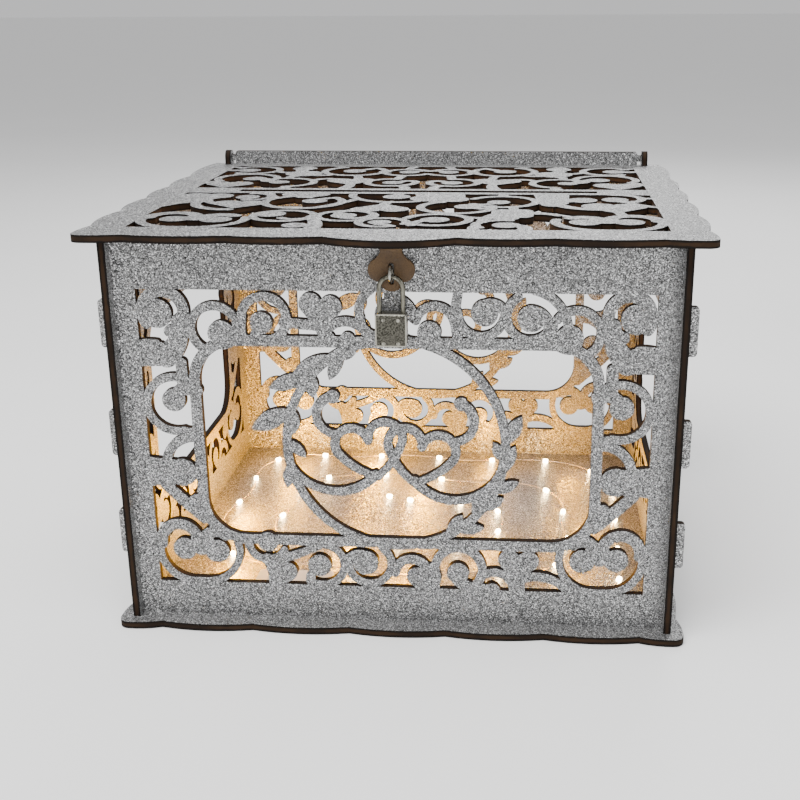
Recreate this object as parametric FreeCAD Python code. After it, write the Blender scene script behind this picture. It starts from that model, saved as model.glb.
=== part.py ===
import FreeCAD, Part
import math
import os

# A wedding card box of 4 mm laser-cut board with a mirror-glitter film on its outer faces.
# Frame: origin at the centre of the base's underside, +X right, front towards -Y, +Z up.
# All lengths are in millimetres.

V = FreeCAD.Vector

# ---- driving dimensions -------------------------------------------------------------
BODY_W = 300.0          # over the two side panels' outer faces
BODY_D = 264.0          # front panel's front face to rear panel's back face
WALL_H = 214.8          # height of the four walls above the base
BOARD = 4.0             # thickness of every board piece
SIDE_LIP = 6.3          # how far the side panels run past the front and rear panels
LID_SIDE = 11.0         # lid past the side panels' outer faces
LID_FRONT = 13.4        # lid's front cusps past the front panel's front face
BASE_SIDE = 7.0         # base past the side panels' outer faces
BASE_END = 13.0         # base past the front and rear panels
TAB_OUT = 5.0           # how far the side tabs stand out of the side panels
TAB_H = 26.0            # height of a side tab
FOOT_TAB_W = 27.0       # width of a tab that goes down into the base
JOINT_GAP = 0.1         # clearance round every tab in its slot
TAB_ROOT = 5.0          # how far a side tab's shape runs into its own panel
LAP = 1.0               # how far joined shapes run into each other
FOOT_TAB_SHARE = 0.475  # place of the foot tabs, as a share of a wall's half width
FIELD_SIDE = 11.5       # panel's outer edge to the pierced field, at the sides
FIELD_FOOT = 20.0       # panel's lower edge to the pierced field
FIELD_HEAD = 26.8       # pierced field to the panel's upper edge
FIELD_END = 14.0        # the same at the side panels' ends, from the end walls' inner faces
BAND = 25.0             # width of the scroll bands round the window
BAR = 6.0               # width of the window's own frame
WINDOW_R = 20.0         # corner radius of the window
STROKE = 4.4            # usual width of a scroll ribbon
RING_R = 58.5           # middle radius of the wreath's hoop
STRIP_H = 9.0           # height of the hinge strip above the lid
EAR_GAP = 3.0           # hinge strip's end to the ear
PEG = 4.0               # the square peg at each end of the hinge strip
PEG_PLAY = 0.06         # clearance round the peg's corners in its hole
EAR_R = 5.0             # radius of the hinge ear
SLOT_W = 7.5            # card slot, front to back
SLOT_L = 218.0          # card slot, left to right
REAR_DROP = 0.6         # rear panel's top edge below the lid's underside
MOVE_GAP = 0.3          # gap between pieces that move past each other

# ---- derived places -----------------------------------------------------------------
HALF_W = BODY_W / 2.0
HALF_D = BODY_D / 2.0
FLOOR_Z = BOARD
WALL_TOP = FLOOR_Z + WALL_H
LID_TOP = WALL_TOP + BOARD
INNER_W = HALF_W - BOARD
INNER_D = HALF_D - BOARD
HINGE_Y = HALF_D - BOARD / 2.0
HINGE_Z = LID_TOP + STRIP_H / 2.0
TAB_FRACTIONS = (0.233, 0.503, 0.787)
FIELD_LOW = FLOOR_Z + FIELD_FOOT
FIELD_HIGH = WALL_TOP - FIELD_HEAD
MIN_HOLE = 3.0          # pierced holes under this area (mm2) are left solid

os.makedirs("parts", exist_ok=True)


def save(shape, node):
    shape.exportStep("parts/" + node + ".step")


# ---- flat shapes in a drawing plane (u to the right, v up) -----------------------------
def rect(u0, v0, u1, v1):
    points = [V(u0, v0, 0), V(u1, v0, 0), V(u1, v1, 0), V(u0, v1, 0), V(u0, v0, 0)]
    return Part.Face(Part.makePolygon(points))


def round_rect(u0, v0, u1, v1, radius):
    corners = ((u1 - radius, v0 + radius, 270), (u1 - radius, v1 - radius, 0),
               (u0 + radius, v1 - radius, 90), (u0 + radius, v0 + radius, 180))
    edges = []
    for i, (u, v, a0) in enumerate(corners):
        edges.append(arc_edge(u, v, radius, a0, a0 + 90))
        nu, nv, na = corners[(i + 1) % 4]
        start = polar(u, v, radius, a0 + 90)
        edges.append(Part.LineSegment(start, polar(nu, nv, radius, na)).toShape())
    return Part.Face(Part.Wire(edges))


def disc(u, v, radius):
    return Part.Face(Part.Wire(Part.makeCircle(radius, V(u, v, 0))))


def polar(u, v, radius, angle):
    a = math.radians(angle)
    return V(u + radius * math.cos(a), v + radius * math.sin(a), 0)


def arc_edge(u, v, radius, a0, a1):
    middle = polar(u, v, radius, (a0 + a1) / 2.0)
    return Part.Arc(polar(u, v, radius, a0), middle, polar(u, v, radius, a1)).toShape()


def ribbon(u, v, radius, a0, a1, width=STROKE):
    """A band with round ends along the arc of this middle radius, from angle a0 to a1."""
    outer = radius + width / 2.0
    inner = radius - width / 2.0
    if abs(a1 - a0) >= 360:
        return [disc(u, v, outer).cut(disc(u, v, inner))]
    edges = [
        arc_edge(u, v, outer, a0, a1),
        Part.LineSegment(polar(u, v, outer, a1), polar(u, v, inner, a1)).toShape(),
        arc_edge(u, v, inner, a1, a0),
        Part.LineSegment(polar(u, v, inner, a0), polar(u, v, outer, a0)).toShape(),
    ]
    ends = [polar(u, v, radius, a) for a in (a0, a1)]
    return [Part.Face(Part.Wire(edges))] + [disc(e.x, e.y, width / 2.0) for e in ends]


def swoosh(start, through, end, w0, w1):
    """A round-ended stroke along the arc through three points, its width going from w0 to w1."""
    a, m, b = (V(p[0], p[1], 0) for p in (start, through, end))
    bent = (m - a).cross(b - m).z
    if abs(bent) < 0.5:
        return strap(a.x, a.y, b.x, b.y, (w0 + w1) / 2.0)
    centre = Part.Arc(a, m, b).toShape().Curve.Center
    outs = []
    ins = []
    for p, w in ((a, w0), (m, (w0 + w1) / 2.0), (b, w1)):
        away = (p - centre).normalize() * (w / 2.0)
        outs.append(p + away)
        ins.append(p - away)
    edges = [
        Part.Arc(outs[0], outs[1], outs[2]).toShape(),
        Part.LineSegment(outs[2], ins[2]).toShape(),
        Part.Arc(ins[2], ins[1], ins[0]).toShape(),
        Part.LineSegment(ins[0], outs[0]).toShape(),
    ]
    return [Part.Face(Part.Wire(edges)), disc(a.x, a.y, w0 / 2.0), disc(b.x, b.y, w1 / 2.0)]


def poly(*points):
    corners = [V(u, v, 0) for u, v in points]
    return Part.Face(Part.makePolygon(corners + corners[:1]))


def strap(u0, v0, u1, v1, width):
    """A straight round-ended stroke."""
    along = V(u1 - u0, v1 - v0, 0).normalize()
    side = V(-along.y, along.x, 0) * (width / 2.0)
    a, b = V(u0, v0, 0), V(u1, v1, 0)
    ring = [a + side, b + side, b - side, a - side, a + side]
    return [Part.Face(Part.makePolygon(ring)), disc(u0, v0, width / 2.0), disc(u1, v1, width / 2.0)]


def leaf(u, v, length, width, angle):
    """A pointed leaf from its stem end at (u, v), made of two arcs."""
    bow = width / 2.0
    tip = polar(u, v, length, angle)
    middle = polar(u, v, length / 2.0, angle)
    side = polar(0, 0, bow, angle + 90)
    root = V(u, v, 0)
    upper = Part.Arc(root, middle + side, tip).toShape()
    lower = Part.Arc(tip, middle - side, root).toShape()
    return Part.Face(Part.Wire([upper, lower]))


def heart(u, v, size, angle):
    """Two lobes and a point; the point looks along the angle."""
    r = size * 0.3
    left = polar(0, 0, size * 0.26, angle + 90)
    back = polar(u, v, size * 0.12, angle + 180)
    tip = polar(u, v, size * 0.55, angle)
    a, b = back + left, back - left
    side_a = a + polar(0, 0, r, angle + 55)
    side_b = b + polar(0, 0, r, angle - 55)
    body = Part.Face(Part.makePolygon([a, side_a, tip, side_b, b, a]))
    return [disc(a.x, a.y, r), disc(b.x, b.y, r), body]


def moved(faces, du, dv):
    return [f.translated(V(du, dv, 0)) for f in faces]


def flipped(faces):
    return [f.mirror(V(0, 0, 0), V(1, 0, 0)) for f in faces]


def pierced(outline, field, solids):
    """The outline with its field cut away except where the ornament's faces lie."""
    holes = field.cut(solids)
    kept = [f for f in holes.Faces if f.Area > MIN_HOLE]
    board = sorted(outline.cut(kept).Faces, key=lambda f: f.Area)
    print("pierced board: %d holes, %d loose islands" % (len(kept), len(board) - 1))
    return board[-1]


# ---- the scroll ornament -----------------------------------------------------------------
# Bands are drawn with v measured from the field's edge that they run along.
def foot_corner():
    """Two curls back to back in one round bowl, in a lower left corner at (0, 0)."""
    bowl = ribbon(20.5, 19.5, 19.2, 160, 270, 4.4) + ribbon(27.0, 19.5, 19.2, 270, 376, 4.4)
    bowl += strap(20.5, 0.3, 27.0, 0.3, 4.4)
    left = ribbon(13.0, 24.5, 10.3, 0, 188, 6.4) + [disc(15.3, 20.0, 6.6)]
    right = swoosh((26.0, 23.0), (30.0, 30.0), (39.0, 29.0), 6.0, 7.0) + [disc(33.6, 19.0, 6.9)]
    middle = [disc(24.5, 21.5, 5.2), disc(23.4, 24.5, 4.6), disc(27.0, 25.5, 5.0)]
    return bowl + left + right + middle


def head_corner():
    """A heavy curl and its branch in an upper left corner at (0, 0), with a second curl."""
    first = ribbon(13.8, -12.0, 11.0, -75, 215, 6.2) + [disc(10.6, -13.0, 7.9)]
    branch = swoosh((22.0, -17.0), (20.5, -28.0), (14.0, -36.0), 8.0, 13.0)
    branch += [poly((0, -29.5), (12, -28.5), (17, -41.5), (0, -42)), disc(13.0, -35.5, 6.6)]
    branch += swoosh((9.0, -29.0), (5.0, -28.5), (0.0, -29.0), 4.0, 3.0)
    second = ribbon(40.5, -21.0, 12.4, 38, 236, 4.8) + [disc(44.0, -23.6, 7.2)]
    second += swoosh((44.0, -28.0), (50.0, -26.0), (53.0, -17.0), 8.0, 6.0)
    return first + branch + second


def column():
    """The side band's middle at v = 0: an open curl above, a ball on its branch below."""
    upper = ribbon(16.4, 21.0, 15.2, 62, 285, 4.6) + [disc(16.0, 23.4, 6.4)]
    upper += swoosh((17.0, 26.0), (21.0, 29.5), (28.0, 29.0), 6.0, 8.0)
    upper += strap(21.5, 33.0, 21.5, 44.0, 6.0)
    upper += swoosh((20.0, 6.2), (24.0, 5.4), (28.0, 6.0), 4.6, 5.0)
    lower = [disc(17.6, -18.2, 8.0), poly((0, -26.5), (13, -25.5), (16, -11), (0, -9.5))]
    lower += swoosh((9.0, -13.0), (15.0, -1.5), (27.5, 2.5), 5.0, 5.6)
    lower += swoosh((8.0, -26.0), (17.0, -35.0), (28.0, -45.0), 6.5, 7.0) + [disc(24.0, -35.5, 4.5)]
    return upper + lower


def foot_band():
    """Row of scrolls along the lower edge, centred on u = 0."""
    drop = [disc(-72.0, 25.5, 5.8)] + ribbon(-72.5, 25.0, 10.3, 180, 335, 4.8)
    drop += swoosh((-72.5, 15.0), (-69.5, 8.0), (-68.5, 0.0), 7.0, 8.0) + [disc(-62.0, 7.6, 5.8)]
    drop += swoosh((-68.0, 6.0), (-66.0, 3.0), (-62.0, 4.0), 5.0, 5.0)
    rise = swoosh((-69.0, 14.5), (-57.0, 18.0), (-42.0, 24.8), 5.6, 4.6)
    curl_a = ribbon(-42.0, 12.5, 12.3, -115, 98, 4.6) + [disc(-43.6, 12.0, 6.6)]
    curl_a += swoosh((-46.0, 9.0), (-49.0, 4.5), (-47.5, 0.0), 5.0, 5.5)
    curl_b = ribbon(-15.5, 14.0, 12.0, -178, 52, 4.6) + [disc(-17.8, 14.4, 7.3)]
    curl_b += swoosh((-29.0, 11.0), (-26.0, 18.0), (-18.0, 19.2), 5.0, 5.0)
    arch = swoosh((-1.5, 9.0), (7.5, 17.4), (17.0, 8.0), 5.4, 5.4) + [disc(10.6, 6.8, 5.8)]
    arch += swoosh((11.0, 3.0), (14.0, 2.0), (20.0, 3.5), 6.0, 6.0)
    ring = ribbon(33.5, 12.0, 13.0, -38, 205, 5.2) + [disc(33.2, 9.8, 6.2)]
    ring += swoosh((33.0, 5.0), (37.0, 2.5), (46.0, 0.5), 6.0, 7.0)
    ring += strap(21.6, 6.0, 20.5, 0.0, 5.0)
    low_arch = swoosh((46.0, 8.0), (55.5, 10.5), (64.0, 1.5), 5.0, 5.4) + [disc(52.0, -0.6, 4.8)]
    love = heart(66.3, 16.0, 20.0, 268) + swoosh((66.0, 10.0), (66.5, 5.0), (66.0, 0.0), 6.0, 8.0)
    tail = swoosh((67.0, 7.0), (79.0, 8.8), (93.0, 1.5), 5.6, 5.0)
    return drop + rise + curl_a + curl_b + arch + ring + low_arch + love + tail


def head_band():
    """Row of scrolls along the upper edge; v runs down from that edge as negative values."""
    hoop = ribbon(-67.5, -15.0, 11.8, -66, 188, 4.8) + [disc(-69.0, -17.4, 6.0)]
    hoop += swoosh((-79.0, -15.0), (-80.0, -19.0), (-80.0, -25.0), 4.8, 6.0)
    hoop += swoosh((-70.0, -19.0), (-72.0, -22.0), (-72.5, -25.0), 5.0, 5.0)
    hoop += strap(-57, -17, -38, -18.6, 5.6)
    love = heart(-38.0, -10.0, 20.0, 262)
    love += swoosh((-38.0, -17.0), (-37.0, -21.0), (-34.0, -25.0), 6.0, 7.0)
    arch = ribbon(-25.0, -28.0, 12.0, 38, 142, 5.2) + [disc(-24.0, -25.4, 3.8)]
    middle = swoosh((-17.0, -15.0), (-17.0, -6.5), (-11.5, 1.0), 4.6, 5.0)
    middle += [disc(-0.5, -12.0, 9.0)]
    middle += swoosh((-17.0, -14.0), (-14.5, -21.0), (-8.0, -24.0), 4.6, 6.0)
    middle += strap(0, 0, 0, -25, 9.0)
    middle += swoosh((-1.0, -4.0), (6.0, -6.0), (10.5, -14.0), 7.0, 5.0)
    second = ribbon(21.5, -17.5, 10.2, 12, 165, 5.0) + [disc(18.6, -21.5, 6.3)]
    second += swoosh((33.5, 0.0), (32.0, -11.0), (33.5, -25.0), 5.0, 5.4)
    curl_a = ribbon(45.2, -11.0, 12.0, 178, 350, 4.8) + [disc(47.0, -10.6, 7.0)]
    curl_a += swoosh((46.0, -6.5), (53.0, -6.0), (58.0, -13.0), 5.0, 5.4)
    curl_b = ribbon(70.2, -12.5, 12.0, 122, 338, 4.8) + [disc(70.8, -13.2, 7.1)]
    curl_b += swoosh((70.0, -8.6), (77.0, -11.5), (77.5, -25.0), 5.0, 6.0)
    sweep = ribbon(67.8, -20.0, 22.0, 0, 78, 4.8)
    sweep += swoosh((89.8, -20.0), (90.0, -22.5), (89.0, -25.0), 5.0, 7.0)
    return hoop + love + arch + middle + second + curl_a + curl_b + sweep


def window_frame(u0, v0, u1, v1):
    outer = round_rect(u0 - BAR, v0 - BAR, u1 + BAR, v1 + BAR, WINDOW_R + BAR)
    return outer.cut(round_rect(u0, v0, u1, v1, WINDOW_R))


def window_box(half_u, low, high):
    inset = BAND + BAR
    return -half_u + inset, low + inset - 1.0, half_u - inset, high - inset + 1.0


def corners_and_columns(half_u, low, high):
    """Corner and column motifs of one field, mirrored left to right."""
    left = moved(foot_corner(), -half_u, low)
    left += moved(head_corner(), -half_u, high)
    left += moved(column(), -half_u, (low + high) / 2.0)
    return left + flipped(left)


# Leaves of the wreath: place round the hoop in degrees, length, width and heading.
LEFT_LEAVES = ((122, 25, 8.5, 204), (118, 17, 7.0, 246), (139, 24, 8.5, 197), (138, 13, 7.0, 268),
               (161, 25, 10.5, 207), (160, 15, 8.5, 268), (109, 12, 6.0, 222), (191, 15, 6.5, 262),
               (178, 14, 6.0, 316))
RIGHT_LEAVES = ((2, 18, 8.0, 62), (345, 18, 7.0, 66), (334, 15, 6.5, 26), (322, 14, 6.5, 32),
                (304, 15, 6.5, 8), (316, 18, 7.5, 74), (328, 14, 7.0, 74), (298, 15, 7.0, 56),
                (352, 13, 6.0, 118))


def wreath(middle_v):
    """The hoop with its leaves, and two linked hearts with trailing ends inside it."""
    faces = ribbon(0, middle_v, RING_R, 0, 360, 5.0)
    for where, length, width, heading in LEFT_LEAVES + RIGHT_LEAVES:
        root = polar(0, middle_v, RING_R, where)
        faces.append(leaf(root.x, root.y, length, width, heading))
    hearts = line_heart(-14.5, 2.0, 9.2, 12.0) + line_heart(14.0, -1.0, 9.2, -12.0)
    hearts += swoosh((-11.0, -17.0), (-36.0, -27.0), (-57.0, -13.0), 5.4, 4.4)
    hearts += swoosh((10.0, -20.0), (38.0, -30.0), (57.5, -6.0), 5.4, 4.4)
    hearts += swoosh((-33.0, 6.0), (-42.0, 17.0), (-33.0, 27.0), 4.6, 5.4)
    hearts += [disc(-33.0, 27.0, 3.8)]
    hearts += swoosh((33.0, 3.0), (42.0, 13.0), (35.0, 24.0), 4.6, 5.4) + [disc(35.0, 24.0, 3.8)]
    return faces + moved(hearts, 0.0, middle_v)


def line_heart(u, v, lobe, tilt):
    """A heart drawn with one stroke; lobe is the middle radius of each round shoulder."""
    half = ribbon(lobe, 0, lobe, -22, 176, 5.0)
    end = polar(lobe, 0, lobe, -22)
    half += swoosh((end.x, end.y), (lobe * 1.36, -lobe * 1.18), (0, -lobe * 2.25), 5.0, 4.4)
    placed = []
    for f in half + flipped(half):
        g = f.copy()
        g.rotate(V(0, 0, 0), V(0, 0, 1), tilt)
        placed.append(g.translated(V(u, v, 0)))
    return placed


def front_ornament(half_u, low, high):
    """Everything left standing in the field of the front and rear panels."""
    faces = corners_and_columns(half_u, low, high)
    faces += moved(foot_band(), 0.0, low) + moved(head_band(), 0.0, high)
    faces.append(window_frame(*window_box(half_u, low, high)))
    faces += wreath((low + high) / 2.0)
    return faces


def side_ornament(half_u, low, high):
    """The side panels' field: shorter rows of the same scrolls round a plain window."""
    faces = corners_and_columns(half_u, low, high)
    inner = half_u - 50.0
    foot = [f for f in foot_band() if abs(f.CenterOfMass.x) < inner]
    head = [f for f in head_band() if abs(f.CenterOfMass.x) < inner]
    faces += moved(foot, 0.0, low) + moved(head, 0.0, high)
    faces.append(window_frame(*window_box(half_u, low, high)))
    return faces


# ---- wall panels ----------------------------------------------------------------------------
def tab_heights():
    return [FLOOR_Z + WALL_H * share for share in TAB_FRACTIONS]


def foot_tabs(half_u):
    return (-half_u * FOOT_TAB_SHARE, half_u * FOOT_TAB_SHARE)


def end_wall_face(top):
    """Outline and piercing of the front or rear panel; u is X and v is Z."""
    outline = rect(-INNER_W, FLOOR_Z, INNER_W, top)
    extras = []
    for z in tab_heights():
        for side in (-1, 1):
            reach = side * (HALF_W + TAB_OUT)
            root = side * (INNER_W - BOARD - TAB_ROOT)
            low, high = min(root, reach), max(root, reach)
            extras.append(round_rect(low, z - TAB_H / 2.0, high, z + TAB_H / 2.0, 2.0))
    for x in foot_tabs(INNER_W):
        extras.append(rect(x - FOOT_TAB_W / 2.0, 0, x + FOOT_TAB_W / 2.0, FLOOR_Z + LAP))
    outline = outline.fuse(extras).removeSplitter()
    half_u = INNER_W - FIELD_SIDE
    field = rect(-half_u, FIELD_LOW, half_u, FIELD_HIGH)
    return pierced(outline, field, front_ornament(half_u, FIELD_LOW, FIELD_HIGH))


def stand_up(face, y):
    """A drawing-plane face (u, v) stood up as (X, Z) at this Y, a board thick towards +Y."""
    plate = face.extrude(V(0, 0, -BOARD))
    plate.rotate(V(0, 0, 0), V(1, 0, 0), 90)
    return plate.translated(V(0, y, 0)).removeSplitter()


def end_wall(y, top):
    return stand_up(end_wall_face(top), y)


def side_wall():
    """The left panel, drawn with u along Y and v along Z, then turned to stand along Y."""
    reach = HALF_D + SIDE_LIP
    outline = rect(-reach, FLOOR_Z, reach, WALL_TOP)
    ear = [disc(HINGE_Y, HINGE_Z, EAR_R)]
    ear.append(rect(HINGE_Y - EAR_R, WALL_TOP - LAP, HINGE_Y + EAR_R, HINGE_Z))
    feet = [rect(y - FOOT_TAB_W / 2.0, 0, y + FOOT_TAB_W / 2.0, FLOOR_Z + LAP) for y in foot_tabs(HALF_D)]
    outline = outline.fuse(ear + feet).removeSplitter()
    peg_hole = disc(HINGE_Y, HINGE_Z, PEG * math.sqrt(0.5) + PEG_PLAY)
    cuts = [peg_hole]
    for z in tab_heights():
        low, high = z - TAB_H / 2.0 - JOINT_GAP, z + TAB_H / 2.0 + JOINT_GAP
        for face_y in (-HALF_D, HALF_D - BOARD):
            cuts.append(rect(face_y - JOINT_GAP, low, face_y + BOARD + JOINT_GAP, high))
    half_u = HALF_D - BOARD - FIELD_END
    field = rect(-half_u, FIELD_LOW, half_u, FIELD_HIGH)
    face = pierced(outline, field, side_ornament(half_u, FIELD_LOW, FIELD_HIGH)).cut(cuts)
    plate = face.extrude(V(0, 0, BOARD))
    plate.rotate(V(0, 0, 0), V(1, 0, 0), 90)
    plate.rotate(V(0, 0, 0), V(0, 0, 1), 90)
    return plate.translated(V(-HALF_W, 0, 0)).removeSplitter()


# ---- scalloped plates ------------------------------------------------------------------------
TIP_R = 6.0             # rounding of a plate's corner tips
CUSP_INSET = 2.6        # depth of the cusps between the scallops
BASE_CUSPS = (-0.515, -0.17, 0.17, 0.515)   # shares of the base's half width
BASE_CORNER = 22.0      # from the plate's corner to its first cusp
LID_CUSPS = (-0.505, -0.205, 0.205, 0.505)  # shares of the lid's half width
TIP_SWEEP = 50.0        # half the angle that a corner tip's arc covers
TIP_BOW = 0.9           # bow of the edge on each side of a corner tip
SIDE_SCALLOPS = 5       # scallops along each side of the base and the lid


def scallop(start, end, depth):
    """One bulge from start to end, standing out to the right of the direction of travel."""
    along = end - start
    out = V(along.y, -along.x, 0).normalize()
    return Part.Arc(start, (start + end) * 0.5 + out * depth, end).toShape()


def corner_tip(start, end, corner, quarter):
    """A scallop that swings out to a small round tip at a corner and back to the next cusp."""
    inward = polar(0, 0, TIP_R * math.sqrt(2), quarter + 180)
    centre = corner + inward
    a = polar(centre.x, centre.y, TIP_R, quarter - TIP_SWEEP)
    b = polar(centre.x, centre.y, TIP_R, quarter + TIP_SWEEP)
    tip = arc_edge(centre.x, centre.y, TIP_R, quarter - TIP_SWEEP, quarter + TIP_SWEEP)
    return [scallop(start, a, TIP_BOW), tip, scallop(b, end, TIP_BOW)]


def scalloped_outline(x0, y0, x1, y1, corner, front_cusps, side_count, bulge, centre_bulge, back):
    """A plate outline with bulges between cusps on the front and sides; back may be straight."""
    edges = []
    xs = [x0 + corner] + list(front_cusps) + [x1 - corner]
    for a, b in zip(xs, xs[1:]):
        deep = centre_bulge if a < 0 < b else bulge
        edges.append(scallop(V(a, y0, 0), V(b, y0, 0), deep))
    ys = [y0 + corner + (y1 - y0 - 2 * corner) * k / side_count for k in range(side_count + 1)]
    if back == "straight":
        ys[-1] = y1
    low, high = y0 - CUSP_INSET, y1 + CUSP_INSET
    left, right = x0 - CUSP_INSET, x1 + CUSP_INSET
    edges += corner_tip(V(x1 - corner, y0, 0), V(x1, y0 + corner, 0), V(right, low, 0), 315)
    edges += [scallop(V(x1, a, 0), V(x1, b, 0), bulge) for a, b in zip(ys, ys[1:])]
    if back == "straight":
        edges.append(Part.LineSegment(V(x1, y1, 0), V(x0, y1, 0)).toShape())
    else:
        edges += corner_tip(V(x1, y1 - corner, 0), V(x1 - corner, y1, 0), V(right, high, 0), 45)
        back_xs = xs[::-1]
        edges += [scallop(V(a, y1, 0), V(b, y1, 0), bulge) for a, b in zip(back_xs, back_xs[1:])]
        edges += corner_tip(V(x0 + corner, y1, 0), V(x0, y1 - corner, 0), V(left, high, 0), 135)
    down = ys[::-1]
    edges += [scallop(V(x0, a, 0), V(x0, b, 0), bulge) for a, b in zip(down, down[1:])]
    edges += corner_tip(V(x0, y0 + corner, 0), V(x0 + corner, y0, 0), V(left, low, 0), 225)
    return Part.Face(Part.Wire(edges))


def base_plate():
    half_x, half_y = HALF_W + BASE_SIDE, HALF_D + BASE_END
    cusps = [half_x * share for share in BASE_CUSPS]
    cusp_x, cusp_y = half_x - CUSP_INSET, half_y - CUSP_INSET
    face = scalloped_outline(-cusp_x, -cusp_y, cusp_x, cusp_y, BASE_CORNER,
                             cusps, SIDE_SCALLOPS, CUSP_INSET, CUSP_INSET, "scalloped")
    cuts = []
    for x in foot_tabs(INNER_W):
        for y in (-HALF_D, HALF_D - BOARD):
            cuts.append(rect(x - FOOT_TAB_W / 2.0 - JOINT_GAP, y - JOINT_GAP,
                             x + FOOT_TAB_W / 2.0 + JOINT_GAP, y + BOARD + JOINT_GAP))
    for y in foot_tabs(HALF_D):
        for x in (-HALF_W, INNER_W):
            cuts.append(rect(x - JOINT_GAP, y - FOOT_TAB_W / 2.0 - JOINT_GAP,
                             x + BOARD + JOINT_GAP, y + FOOT_TAB_W / 2.0 + JOINT_GAP))
    return face.cut(cuts).extrude(V(0, 0, BOARD))


# ---- lid ------------------------------------------------------------------------------------
LID_CORNER = 24.0       # from the lid's corner to its first cusp
LID_BULGE = 3.2
LID_CENTRE_BULGE = 10.0
LID_RIM_SIDE = 21.5     # lid's side edge to its pierced field
LID_FIELD_START = 8.0   # field's front edge behind the front panel's front face
LID_RIM_BACK = 17.0     # field's back edge to the lid's back edge
BOWL_SCALE = 1.24       # lid's corner bowls against those of the walls
LID_HALF_W = HALF_W + LID_SIDE
LID_FIELD_HALF_W = LID_HALF_W - LID_RIM_SIDE
LID_FIELD_FRONT = -HALF_D + LID_FIELD_START
LID_FIELD_BACK = HALF_D - LID_RIM_BACK
SLOT_Y = 2.0            # middle of the card slot
SLOT_BAR = 6.5          # plain board along each side of the slot
STRIP_TABS = (-95.0, 0.0, 95.0)
STRIP_TAB_W = 20.0
STRIP_CORNER_R = 1.6


def lid_front_row():
    """Motifs along the field's front edge; v runs back from that edge."""
    bowl = []
    for f in foot_corner():
        g = f.copy()
        g.scale(BOWL_SCALE, V(0, 0, 0))
        bowl.append(g)
    bowl = moved(bowl, -LID_FIELD_HALF_W, 0)
    faces = bowl + flipped(bowl)
    faces += ribbon(-64.0, 37.0, 16.6, 0, 360, 4.8) + [disc(-72.5, 41.9, 8.8)]
    faces += ribbon(-30.0, 38.0, 15.6, 0, 360, 4.6) + [disc(-31.5, 39.0, 7.2)]
    faces += swoosh((-64.0, 30.0), (-54.0, 27.0), (-49.0, 36.0), 5.0, 4.6)
    faces += swoosh((-31.0, 32.5), (-23.0, 31.0), (-16.5, 40.0), 5.0, 4.6)
    faces += swoosh((-47.0, 28.0), (-43.0, 16.0), (-42.0, 0.0), 6.0, 9.0) + [disc(-52.5, 8.5, 6.8)]
    faces += ribbon(-8.0, 19.0, 12.6, -20, 300, 4.6) + [disc(-9.5, 19.5, 6.2)]
    faces += swoosh((-10.0, 14.0), (-5.0, 11.5), (-2.0, 8.5), 5.0, 5.0)
    faces += ribbon(20.0, 28.0, 17.0, -115, 165, 5.0) + [disc(19.0, 28.0, 7.8)]
    faces += swoosh((14.0, 26.0), (10.0, 21.0), (8.0, 12.0), 5.0, 6.0)
    faces += ribbon(55.0, 14.0, 14.0, 75, 215, 5.2) + [disc(57.0, 13.5, 7.6)]
    faces += swoosh((60.0, 13.0), (66.0, 8.0), (66.0, 0.0), 7.0, 8.0)
    faces += swoosh((41.5, 10.0), (40.0, 5.0), (41.0, 0), 5.0, 6.0)
    faces += [round_rect(48, 36, 71, 62, 6.0), disc(56.0, 35.0, 7.4)]
    faces += swoosh((44.0, 22.0), (46.0, 34.0), (52.0, 46.0), 6.0, 8.0)
    faces += swoosh((66.0, 50.0), (74.0, 50.0), (84.0, 44.0), 8.0, 5.0)
    faces += strap(36.0, 36.0, 46.0, 33.0, 4.8)
    return faces


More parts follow.
